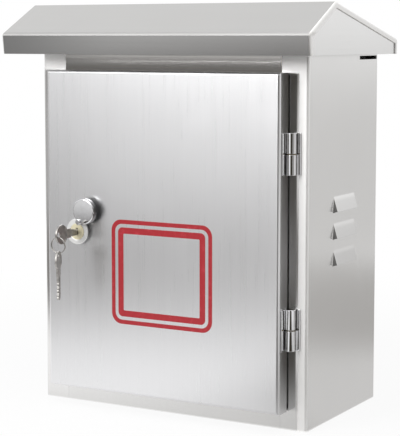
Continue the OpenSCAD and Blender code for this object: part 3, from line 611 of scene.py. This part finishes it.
def finish(slot):
    """The material of one of the record's slots."""
    tones = bpy.context.scene.cabinet_finishes
    makers = {
        "stainless_body": lambda: brushed_steel(
            "body_steel", tones.body_steel, frame_gloss, UP,
            # Tinges of the body: a painted highlight on the dulled front corner, and painted shade on the
            # hinge flange beside the door's edge, on the pressed louvres and on their end cheeks.
            tinges=((corner_painted_highlight, 1.18), (door_edge_shade, 0.80), (louvre_flap_shade, 0.87), (louvre_cheek_shade, 0.50)),
        ),
        "stainless_door": lambda: brushed_steel("door_steel", tones.door_steel, 0.29, UP),
        "stainless_roof": lambda: brushed_steel(
            "roof_steel", tones.roof_steel, roof_gloss, ACROSS,
            # Tinges of the roof: painted shade that dims the highlight of the fold over the front edge and
            # darkens the front edge, and a painted highlight on the folds at the ends.
            tinges=((eave_fold, 0.80), (fascia_painted_shade, 0.76), (roof_ends, 1.55)),
        ),
        "plated_steel": lambda: zinc_plating("zinc_plating", tones.zinc),
        "plate_white": lambda: powder_coat("plate_coating", tones.plate_coat),
        "chrome": lambda: bright_metal("lock_chrome", tones.bright_metal, 0.07),
        "key_steel": lambda: key_metal("key_metal", tones.key_metal),
        "brass": lambda: brass_metal("brass", tones.brass, 0.20),
        "rubber": lambda: soft_rubber("rubber", tones.rubber),
        "case_plastic": lambda: moulded_plastic("case_plastic", tones.case),
        "toggle_plastic": lambda: moulded_plastic("toggle_plastic", tones.toggle, 0.34),
        "insulator_plastic": lambda: moulded_plastic("insulator_plastic", tones.insulator, 0.36),
    }
    return makers[slot]()


def link(name, data):
    """A new object of the scene."""
    made = bpy.data.objects.new(name, data)
    bpy.context.scene.collection.objects.link(made)
    return made


def mesh_of(form, name):
    """Turns a form into a plain mesh."""
    mesh = bpy.data.meshes.new(name)
    form.to_mesh(mesh)
    form.free()
    return mesh


def cad_form(node):
    """A copy of a CAD node's mesh, its doubles merged and its flat faces joined."""
    form = bmesh.new()
    form.from_mesh(NODES[node].data)
    bmesh.ops.remove_doubles(form, verts=form.verts, dist=CAD_POINT)
    bmesh.ops.dissolve_limit(form, angle_limit=FLAT, verts=form.verts, edges=form.edges, delimit={"NORMAL"})
    return form


def bevel(form, edges, width, steps, clamp=False):
    """Rounds some edges of a form."""
    bmesh.ops.bevel(form, geom=edges, offset=width, offset_type="OFFSET", segments=steps, profile=0.5,
                    affect="EDGES", clamp_overlap=clamp, loop_slide=True)


def round_off(form, width, keep=None, steps=2, angle=28):
    """Rounds the edges of a form that stand out by more than an angle, and that keep accepts."""
    limit = math.radians(angle)
    edges = [
        edge
        for edge in form.edges
        if edge.is_manifold and edge.is_convex and edge.calc_face_angle(0) > limit
        and (keep is None or keep(edge))
    ]
    if edges and width > 0:
        bevel(form, edges, width, steps)


def put_down(form, name, node, material=None, stand_in=True):
    """Turns a form into a finished piece on the body of a CAD node."""
    bmesh.ops.dissolve_degenerate(form, dist=CAD_POINT, edges=form.edges)
    settle(mesh_of(form, name), name, node, material, stand_in)


def settle(mesh, name, node, material=None, stand_in=True):
    """Makes a mesh a finished piece on the body of a CAD node, in that node's stead where it stands in."""
    mesh.materials.clear()
    mesh.materials.append(material or finish(SLOT_OF[node]))
    mesh.polygons.foreach_set("material_index", [0] * len(mesh.polygons))
    mesh.shade_smooth()
    mesh.set_sharp_from_angle(angle=SHARP)
    piece = link(name, mesh)
    even = piece.modifiers.new("Even shading", "WEIGHTED_NORMAL")
    even.keep_sharp = True
    even.weight = 60
    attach(piece, BODY_OF[node])
    if stand_in:
        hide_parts(node)


def refine(node, width, steps=2, material=None):
    """Puts down a finished copy of one CAD node, with its outer edges rounded."""
    form = cad_form(node)
    round_off(form, width, steps=steps)
    put_down(form, node + "_finish", node, material)


def lumps(node):
    """Lowest and highest corner of each separate solid of a CAD node."""
    form = cad_form(node)
    left, found = set(form.verts), []
    while left:
        near, lump = [left.pop()], []
        while near:
            vert = near.pop()
            lump.append(vert.co.copy())
            for edge in vert.link_edges:
                other = edge.other_vert(vert)
                if other in left:
                    left.remove(other)
                    near.append(other)
        found.append((Vector(map(min, zip(*lump))), Vector(map(max, zip(*lump)))))
    form.free()
    return sorted(found, key=lambda box: tuple(round(c, 4) for c in box[0]))


class GeometryTree:
    """A geometry node tree with named inputs, which is run once on a mesh and leaves a plain mesh."""

    def __init__(self, name):
        self.group = bpy.data.node_groups.new(name, "GeometryNodeTree")
        self.bench = Bench(self.group)
        self.group.interface.new_socket("Geometry", in_out="INPUT", socket_type="NodeSocketGeometry")
        self.group.interface.new_socket("Geometry", in_out="OUTPUT", socket_type="NodeSocketGeometry")
        self.given = {}

    def takes(self, **values):
        """Adds a named input for each value and returns the node that hands them on."""
        kinds = {float: "NodeSocketFloat", int: "NodeSocketInt"}
        for label, value in values.items():
            kind = kinds.get(type(value), "NodeSocketMaterial")
            socket = self.group.interface.new_socket(label, in_out="INPUT", socket_type=kind)
            self.given[socket.identifier] = value
        return self.bench.add("NodeGroupInput")

    def gives(self, geometry, material):
        """Closes the tree: real geometry with its material."""
        real = self.bench.add("GeometryNodeRealizeInstances", {"Geometry": geometry})["Geometry"]
        coated = self.bench.add("GeometryNodeSetMaterial", {"Geometry": real, "Material": material})
        self.bench.add("NodeGroupOutput", {"Geometry": coated["Geometry"]})

    def run(self, name, points=()):
        """Runs the tree on a mesh of points and returns the plain mesh."""
        start = bpy.data.meshes.new(name + "_start")
        start.from_pydata([tuple(p) for p in points], [], [])
        holder = link(name + "_start", start)
        nodes = holder.modifiers.new("Build", "NODES")
        nodes.node_group = self.group
        for identifier, value in self.given.items():
            nodes[identifier] = value
        bpy.context.view_layer.update()
        graph = bpy.context.evaluated_depsgraph_get()
        mesh = bpy.data.meshes.new_from_object(holder.evaluated_get(graph), depsgraph=graph)
        mesh.name = name
        bpy.data.objects.remove(holder)
        bpy.data.meshes.remove(start)
        if not mesh.polygons:
            raise RuntimeError(name + " came out empty")
        return mesh


def turned_out(mesh):
    """Merges a mesh's doubles and turns its faces outwards."""
    form = bmesh.new()
    form.from_mesh(mesh)
    bmesh.ops.remove_doubles(form, verts=form.verts, dist=SAME_POINT)
    bmesh.ops.recalc_face_normals(form, faces=form.faces)
    form.to_mesh(mesh)
    form.free()


def closed_rows(rows, form):
    """Faces between closed rows of vertices of equal count."""
    for first, second in zip(rows, rows[1:]):
        for i in range(len(first)):
            j = (i + 1) % len(first)
            form.faces.new((first[i], first[j], second[j], second[i]))


def rounded_outline(width, height, corner, steps=8):
    """Points round a rectangle with rounded corners, counterclockwise."""
    points = []
    for turn, (sx, sz) in enumerate(((1, 1), (-1, 1), (-1, -1), (1, -1))):
        for i in range(steps + 1):
            angle = math.radians(90 * turn + 90 * i / steps)
            points.append((sx * (width / 2 - corner) + corner * math.cos(angle),
                           sz * (height / 2 - corner) + corner * math.sin(angle)))
    return points


class CABINET_OT_body(bpy.types.Operator):
    """Finishes the folded body, its top and bottom panels"""

    bl_idname = "cabinet.body"
    bl_label = "Body"

    def execute(self, context):
        sizes = context.scene.cabinet_sizes
        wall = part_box("bottom_panel")[1].x
        skin, outward, slight = 0.001, 0.05, math.radians(6)

        def pressed(edge):
            """Whether an edge is on the outside of a louvre."""
            side = math.copysign(1, edge.verts[0].co.x)
            near = all(v.co.x * side > wall + skin and abs(v.co.y) < sizes.louvre_reach for v in edge.verts)
            return near and all(face.normal.x * side > outward for face in edge.link_faces)

        form = cad_form("body_wrapper")
        folds = [edge for edge in form.edges
                 if edge.is_manifold and edge.calc_face_angle(0) > slight and pressed(edge)]
        bevel(form, folds, sizes.louvre_fold, 3, clamp=True)
        round_off(form, sizes.sheet_edge, angle=50)
        put_down(form, "body_wrapper_finish", "body_wrapper")
        refine("bottom_panel", sizes.sheet_edge)
        # The rail is darkened with painted shade towards the roof.
        mill = brushed_steel("rail_steel", context.scene.cabinet_finishes.rail_steel, 0.05, ACROSS, 0.0002,
                             tinges=((rail_painted_shade, 0.42),))
        refine("top_panel", sizes.sheet_edge, material=mill)
        return {"FINISHED"}


class CABINET_OT_roof(bpy.types.Operator):
    """Finishes the rain roof: its folded sheet, gables and soffit"""

    bl_idname = "cabinet.roof"
    bl_label = "Roof"

    def execute(self, context):
        sizes = context.scene.cabinet_sizes
        low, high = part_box("roof_sheet")
        middle = (low + high) / 2
        sideways, outward = 0.1, 0.002  # an outer face turns aside by less, and lies further from the middle

        def end_fold(edge):
            """Whether an edge is on the outside of the sheet and at one of its ends."""
            spot = (edge.verts[0].co + edge.verts[1].co) / 2
            out = any(abs(face.normal.x) < sideways and face.normal.dot(spot - middle) > outward
                      for face in edge.link_faces)
            at_end = all(abs(abs(v.co.x) - high.x) < TOUCH for v in edge.verts)
            return out and at_end and spot.z > low.z + TOUCH

        form = cad_form("roof_sheet")
        round_off(form, sizes.roof_end, end_fold, 4)
        round_off(form, sizes.sheet_edge, angle=50)
        put_down(form, "roof_sheet_finish", "roof_sheet")
        satin = brushed_steel("gable_steel", context.scene.cabinet_finishes.gable_steel, 0.24, DEEP)
        for node in ("roof_gable_left", "roof_gable_right"):
            refine(node, sizes.sheet_edge, material=satin)
        refine("roof_soffit", sizes.sheet_edge)
        for node in ("roof_bolts", "roof_weld_nuts"):
            refine(node, sizes.fixing_edge)
        return {"FINISHED"}


class CABINET_OT_door(bpy.types.Operator):
    """Finishes the door pan and sweeps its foam seal"""

    bl_idname = "cabinet.door"
    bl_label = "Door"

    def execute(self, context):
        sizes = context.scene.cabinet_sizes
        refine("door_panel", sizes.sheet_edge)
        low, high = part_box("door_seal")
        foam = soft_rubber("seal_foam", context.scene.cabinet_finishes.foam)
        tree = GeometryTree("seal_sweep")
        given = tree.takes(Width=high.x - low.x - sizes.seal_strip, Height=high.z - low.z - sizes.seal_strip,
                           Strip=sizes.seal_strip, Depth=high.y - low.y, Corner=sizes.seal_corner,
                           Edge=sizes.seal_edge, Finish=foam)
        bench = tree.bench
        path = bench.rounded_curve(given["Width"], given["Height"], given["Corner"], 8)
        section = bench.rounded_curve(given["Strip"], given["Depth"], given["Edge"], 5)
        swept = bench.swept(path, section, False)
        tree.gives(bench.moved(swept, (low + high) / 2, FACING), given["Finish"])
        seal = tree.run("door_seal_finish")
        turned_out(seal)
        settle(seal, "door_seal_finish", "door_seal", foam)
        return {"FINISHED"}


class CABINET_OT_label(bpy.types.Operator):
    """Prints a blank red frame on the door"""

    bl_idname = "cabinet.label"
    bl_label = "Printed frame"

    def execute(self, context):
        sizes = context.scene.cabinet_sizes
        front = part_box("door_panel")[0].y
        film, sunk, least_corner, tighter = sizes.print_film, -0.00002, 0.001, 0.8
        form = bmesh.new()
        inset = 0.0
        for band in (sizes.label_outer, sizes.label_inner):
            rings = []
            for grow, lift in ((inset, sunk), (inset, film), (inset + band, film), (inset + band, sunk)):
                outline = rounded_outline(sizes.label_width - 2 * grow, sizes.label_height - 2 * grow,
                                          max(least_corner, sizes.label_corner - tighter * grow))
                rings.append([form.verts.new((sizes.label_x + x, front - lift, sizes.label_z + z))
                              for x, z in outline])
            closed_rows(rings + rings[:1], form)
            inset += band + sizes.label_gap
        bmesh.ops.recalc_face_normals(form, faces=form.faces)
        red = screen_print("print_red", context.scene.cabinet_finishes.print_red)
        put_down(form, "printed_frame", "door_panel", red, stand_in=False)
        return {"FINISHED"}


class CABINET_OT_hinges(bpy.types.Operator):
    """Finishes the two hinges"""

    bl_idname = "cabinet.hinges"
    bl_label = "Hinges"

    def execute(self, context):
        sizes = context.scene.cabinet_sizes
        tones = context.scene.cabinet_finishes
        for node in ("hinge_frame_leaves", "hinge_door_leaves"):
            refine(node, sizes.hinge_edge, 3)
        refine("hinge_pins", sizes.pin_edge)
        # The washers' near-black brass is painted shade of the gap between the knuckles.
        refine("hinge_washers", sizes.pin_edge, material=brass_metal("washer_brass", tones.shaded_washer_brass, 0.34))
        return {"FINISHED"}


class CABINET_OT_lock(bpy.types.Operator):
    """Finishes the cam lock and its dust cap"""

    bl_idname = "cabinet.lock"
    bl_label = "Lock"

    def execute(self, context):
        sizes = context.scene.cabinet_sizes
        tones = context.scene.cabinet_finishes
        # The bezel and the dust cap are darkened with painted shade on their walls behind their fronts
        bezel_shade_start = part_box("lock_housing")[0].y + sizes.lock_edge
        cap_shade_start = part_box("lock_cover")[0].y + sizes.cap_edge
        bezel = bright_metal("bezel_chrome", tones.bezel, 0.46, bezel_shade_start)
        plug = bright_metal("plug_brass", tones.plug_brass, 0.46)
        cap = bright_metal("cap_chrome", tones.bright_metal, 0.07, cap_shade_start)
        refine("lock_housing", sizes.lock_edge, 3, bezel)
        refine("lock_plug", sizes.plug_edge, 3, plug)
        refine("cover_rivet", sizes.lock_edge, 3)
        for node in ("lock_nut", "lock_cam", "cam_screw"):
            refine(node, sizes.cam_edge)
        refine("lock_cover", sizes.cap_edge, material=cap)
        return {"FINISHED"}


class CABINET_OT_keys(bpy.types.Operator):
    """Finishes the two keys and winds the split ring that joins them"""

    bl_idname = "cabinet.keys"
    bl_label = "Keys"

    def execute(self, context):
        sizes = context.scene.cabinet_sizes
        for node in ("lock_key", "spare_key"):
            refine(node, sizes.key_edge)
        low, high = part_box("key_ring")
        wire = (high.y - low.y) / 4
        tree = GeometryTree("split_ring")
        given = tree.takes(Radius=(high.x - low.x) / 2 - 2 * wire, Wire=wire, Pitch=4 * wire, Turns=2.0,
                           Finish=finish("key_steel"))
        bench = tree.bench
        coil = bench.add("GeometryNodeCurveSpiral", {
            "Resolution": 64, "Rotations": given["Turns"], "Start Radius": given["Radius"],
            "End Radius": given["Radius"], "Height": given["Pitch"],
        })["Curve"]
        section = bench.add("GeometryNodeCurvePrimitiveCircle", {"Resolution": 12, "Radius": given["Wire"]},
                            mode="RADIUS")["Curve"]
        wound = bench.swept(coil, section, True)
        middle = (low + high) / 2
        placed = bench.moved(wound, (middle.x, middle.y + 2 * wire, middle.z), FACING)
        tree.gives(placed, given["Finish"])
        ring = tree.run("key_ring_finish")
        turned_out(ring)
        settle(ring, "key_ring_finish", "key_ring")
        return {"FINISHED"}


class CABINET_OT_fittings(bpy.types.Operator):
    """Finishes the mounting plate, its fixings, the rail, the terminal bars and the grommets"""

    bl_idname = "cabinet.fittings"
    bl_label = "Plate, rail and bars"

    def execute(self, context):
        sizes = context.scene.cabinet_sizes
        refine("mounting_plate", sizes.fixing_edge)
        refine("din_rail", sizes.rail_edge)
        for node in ("plate_studs", "plate_nuts", "rail_screws"):
            refine(node, sizes.fixing_edge)
        for node in ("neutral_bar", "earth_bar"):
            refine(node, sizes.bar_edge, 3)
        for node in ("neutral_insulators", "earth_bar_feet"):
            refine(node, sizes.foot_edge, 3)
        refine("cable_grommets", sizes.bar_edge, 3)
        return {"FINISHED"}


class CABINET_OT_screws(bpy.types.Operator):
    """Sets slotted screw heads in the breaker terminals and the terminal bars"""

    bl_idname = "cabinet.screws"
    bl_label = "Screw heads"

    def execute(self, context):
        sizes = context.scene.cabinet_sizes
        sides, overrun = 36, 2.4  # sides of a head, and the slot cutter's length in radii of a head
        for node in ("terminal_screws", "neutral_screws", "earth_screws"):
            boxes = lumps(node)
            low, high = boxes[0]
            tree = GeometryTree(node + "_heads")
            given = tree.takes(Radius=(high.x - low.x) / 2, Head=high.y - low.y, Slot=sizes.slot_width,
                               Depth=sizes.slot_depth, Seed=context.scene.cabinet_studio.spin_seed,
                               Finish=finish(SLOT_OF[node]))
            bench = tree.bench
            blank = bench.add("GeometryNodeMeshCylinder", {
                "Vertices": sides, "Radius": given["Radius"], "Depth": given["Head"],
            }, fill_type="NGON")["Mesh"]
            bar = bench.vector(X=overrun * given["Radius"], Y=given["Slot"], Z=2 * given["Depth"])
            cutter = bench.add("GeometryNodeMeshCube", {"Size": bar})["Mesh"]
            cutter = bench.moved(cutter, bench.vector(Z=0.5 * given["Head"]))
            cut = bench.add("GeometryNodeMeshBoolean", {0: blank, 1: cutter}, operation="DIFFERENCE")["Mesh"]
            spin = bench.add("FunctionNodeRandomValue", {2: 0.0, 3: math.pi, "Seed": given["Seed"]},
                             data_type="FLOAT")[1]
            heads = bench.set_on(given["Geometry"], cut)
            turned = bench.add("GeometryNodeRotateInstances", {
                "Instances": heads, "Rotation": bench.vector(Z=spin),
            })
            tree.gives(turned["Instances"], given["Finish"])
            mesh = tree.run(node + "_finish", [(a + b) / 2 for a, b in boxes])
            form = bmesh.new()
            form.from_mesh(mesh)
            bmesh.ops.remove_doubles(form, verts=form.verts, dist=SAME_POINT)
            bpy.data.meshes.remove(mesh)
            round_off(form, sizes.screw_edge, angle=40)
            put_down(form, node + "_finish", node)
        return {"FINISHED"}


class CABINET_OT_breakers(bpy.types.Operator):
    """Finishes the breaker cases and their toggles"""

    bl_idname = "cabinet.breakers"
    bl_label = "Breakers"

    def execute(self, context):
        sizes = context.scene.cabinet_sizes
        cases = ["main_breaker"] + [f"branch_breaker_{i}" for i in range(1, 5)]
        for node in cases:
            refine(node, sizes.case_edge)
        for node in ["main_toggle"] + [f"branch_toggle_{i}" for i in range(1, 5)]:
            refine(node, sizes.toggle_edge, 3)
        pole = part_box("branch_breaker_1")[1].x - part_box("branch_breaker_1")[0].x
        poles = []
        for node in cases:
            low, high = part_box(node)
            count = round((high.x - low.x) / pole)
            poles += [Vector((low.x + (i + 0.5) * pole, low.y, (low.z + high.z) / 2)) for i in range(count)]
        tones = context.scene.cabinet_finishes
        for name, rgb, rise, width, height, film in (
            ("rating_field", tones.field_pale, 0.0166, 0.0132, 0.0084, 1),
            ("rating_line", tones.field_grey, 0.0186, 0.0096, 0.0010, 2),
            ("rating_line_low", tones.field_grey, 0.0163, 0.0066, 0.0010, 2),
            ("window_frame", tones.field_grey, -0.0132, 0.0074, 0.0042, 1),
            ("state_window", tones.field_green, -0.0132, 0.0058, 0.0026, 2),
            ("foot_band", tones.field_blue, -0.0190, 0.0150, 0.0026, 1),
        ):
            self.add_fields(name, [spot + Vector((0, 0, rise)) for spot in poles], width, height,
                            film * sizes.field_film, screen_print("print_" + name, rgb))
        return {"FINISHED"}

    def add_fields(self, name, spots, width, height, film, material):
        """Prints a thin rounded field at each spot of the breakers' fronts."""
        tree = GeometryTree(name)
        corner = 0.22 * min(width, height)
        given = tree.takes(Width=width, Height=height, Corner=corner, Film=film, Finish=material)
        bench = tree.bench
        outline = bench.rounded_curve(given["Width"], given["Height"], given["Corner"], 5)
        face = bench.add("GeometryNodeFillCurve", {"Curve": outline}, mode="NGONS")["Mesh"]
        raised = bench.add("GeometryNodeExtrudeMesh", {
            "Mesh": face, "Offset": bench.vector(Z=1.0), "Offset Scale": given["Film"], "Individual": False,
        })["Mesh"]
        plate = bench.add("GeometryNodeJoinGeometry", {"Geometry": [raised, face]})["Geometry"]
        tree.gives(bench.set_on(given["Geometry"], plate), given["Finish"])
        mesh = tree.run(name, spots)
        turned_out(mesh)
        settle(mesh, name, "main_breaker", material, stand_in=False)


class CABINET_OT_stage(bpy.types.Operator):
    """Sets up the floor, the soft light and the camera"""

    bl_idname = "cabinet.stage"
    bl_label = "Studio"

    def execute(self, context):
        scene = context.scene
        studio = scene.cabinet_studio
        scene.view_settings.view_transform = "Standard"
        self.add_camera(scene, studio)
        self.add_world(scene, studio)
        self.add_floor(studio)
        self.add_lamp("overhead_lamp", studio.overhead, (0.15, -0.35, 1.75), (0, 0, 0.2), 1.3, 1.3)
        self.add_lamp("front_lamp", studio.front, (-0.44, -1.15, 0.80), (0.0, -0.1, 0.38), 0.64, 0.62)
        up, towards_left, towards_right = (0, 0, 1), math.radians(-30), math.radians(28)
        self.add_card("front_floor", (-0.56, -1.04, 0.002), up, 2.6, 1.6, studio.front_shade, towards_left)
        self.add_card("front_horizon", (-1.28, -2.35, 0.29), (0.49, 0.87, 0), 3.0, 0.20, studio.horizon_shade)
        self.add_card("left_wall", (-1.15, -0.95, 0.15), (0.76, 0.65, 0), 1.0, 0.75, studio.left_shade)
        self.add_card("camera_floor", (0.44, -0.62, 0.002), up, 0.52, 1.35, studio.dark_room, towards_right)
        self.add_card("camera_wall", (0.68, -1.16, 0.35), (-0.45, 0.89, 0), 1.45, 1.2, studio.dark_room)
        self.add_card("right_wall", (1.32, -0.45, 0.35), (-0.95, 0.31, 0), 1.15, 1.2, studio.right_shade)
        self.add_card("far_left_wall", (-1.55, 0.35, 0.05), (1, 0, 0), 2.2, 0.75, studio.side_floor)
        self.add_card("side_wall", (0.75, 0.95, -0.02), (-0.5, -0.86, 0), 2.8, 0.95, studio.side_wall)
        self.add_card("side_floor", (0.44, 0.58, 0.002), up, 1.9, 0.9, studio.side_floor, math.radians(-26))
        self.add_card("side_foot", (0.30, 0.12, 0.001), up, 1.2, 0.9, studio.side_wall, math.radians(-26))
        return {"FINISHED"}

    def add_camera(self, scene, studio):
        """The camera of the main view."""
        lens = bpy.data.cameras.new("camera")
        lens.lens, lens.sensor_width, lens.shift_y = studio.lens, 36.0, studio.shift
        camera = link("camera", lens)
        camera.location = studio.camera_at
        camera.rotation_euler = (studio.tilt, 0, studio.turn)
        scene.camera = camera

    def add_world(self, scene, studio):
        """A soft dome that looks white itself."""
        world = bpy.data.worlds.new("studio")
        world.use_nodes = True
        bench = Bench(world.node_tree)
        soft, white = (
            bench.add("ShaderNodeBackground", {"Color": WHITE, "Strength": strength})["Background"]
            for strength in (studio.dome, 1.0)
        )
        bench.add("ShaderNodeOutputWorld", {"Surface": bench.mixed(bench.seen(), soft, white)})
        scene.world = world

    def add_floor(self, studio):
        """A pale floor that keeps the soft shadow near the cabinet and is white further off."""
        half, below, near, far, shadow = 9, -0.0006, 0.25, 0.9, 0.12
        form = bmesh.new()
        bmesh.ops.create_grid(form, x_segments=8, y_segments=8, size=half)
        bmesh.ops.translate(form, verts=form.verts, vec=(0, 0, below))
        floor = link("floor", mesh_of(form, "floor"))

        def surface(bench):
            away = bench.add("ShaderNodeVectorMath", {0: bench.place()}, operation="LENGTH")["Value"]
            matt = bench.add("ShaderNodeBsdfDiffuse", {"Color": shade(studio.floor_colour, 1)})["BSDF"]
            white = bench.seen() * (1 - shadow + shadow * away.between(near, far))
            return bench.mixed(white, matt, bench.glow(WHITE))

        floor.data.materials.append(painted("floor_paint", surface))

    def add_lamp(self, name, power, at, towards, width, height):
        """A soft lamp that is aimed at a place."""
        lamp = bpy.data.lights.new(name, "AREA")
        lamp.shape = "RECTANGLE"
        lamp.size, lamp.size_y, lamp.energy = width, height, power
        holder = link(name, lamp)
        holder.location = at
        holder.rotation_euler = (Vector(towards) - Vector(at)).to_track_quat("-Z", "Y").to_euler()

    def add_card(self, name, at, facing, width, height, rgb, roll=0.0):
        """A soft-edged card that only reflections see, as a studio sets up beside bright metal."""
        soft = 0.25
        turn = Vector(facing).to_track_quat("Z", "Y").to_matrix().to_4x4() @ Matrix.Rotation(roll, 4, "Z")
        form = bmesh.new()
        form.loops.layers.uv.new("UVMap")
        bmesh.ops.create_grid(form, x_segments=1, y_segments=1, size=0.5, calc_uvs=True,
                              matrix=Matrix.Translation(at) @ turn @ Matrix.Diagonal((width, height, 1, 1)))
        card = link(name, mesh_of(form, name))

        def surface(bench):
            spot = bench.add("ShaderNodeSeparateXYZ", {0: bench.add("ShaderNodeTexCoord")["UV"]})
            cover = 1.0
            for axis in ("X", "Y"):
                cover = cover * spot[axis].between(0, soft) * (1 - spot[axis].between(1 - soft, 1))
            clear = bench.add("ShaderNodeBsdfTransparent")["BSDF"]
            return bench.mixed(cover, clear, bench.glow(shade(rgb, 1)))

        card.data.materials.append(painted(name + "_paint", surface))
        card.visible_camera = card.visible_diffuse = card.visible_shadow = card.visible_transmission = False


class CABINET_PT_build(bpy.types.Panel):
    """Lists the cabinet's pieces and its studio"""

    bl_idname = "CABINET_PT_build"
    bl_label = "Distribution cabinet"
    bl_space_type = "VIEW_3D"
    bl_region_type = "UI"
    bl_category = "Cabinet"

    def draw(self, context):
        for step in STEPS:
            self.layout.operator(step.bl_idname, text=step.bl_label)
        for place in GROUPS:
            group, box = getattr(context.scene, place), self.layout.box()
            for name in group.__annotations__:
                box.prop(group, name)


STEPS = (
    CABINET_OT_stage,
    CABINET_OT_body,
    CABINET_OT_roof,
    CABINET_OT_door,
    CABINET_OT_label,
    CABINET_OT_hinges,
    CABINET_OT_lock,
    CABINET_OT_keys,
    CABINET_OT_fittings,
    CABINET_OT_screws,
    CABINET_OT_breakers,
)
GROUPS = {"cabinet_sizes": CabinetSizes, "cabinet_finishes": CabinetFinishes, "cabinet_studio": CabinetStudio}
CLASSES = (*GROUPS.values(), *STEPS, CABINET_PT_build)


def register():
    for cls in CLASSES:
        bpy.utils.register_class(cls)
    for place, group in GROUPS.items():
        setattr(bpy.types.Scene, place, PointerProperty(type=group))


def unregister():
    for place in GROUPS:
        delattr(bpy.types.Scene, place)
    for cls in reversed(CLASSES):
        bpy.utils.unregister_class(cls)


def main():
    register()
    for step in STEPS:
        family, name = step.bl_idname.split(".")
        getattr(getattr(bpy.ops, family), name)()


if __name__ == "__main__":
    main()
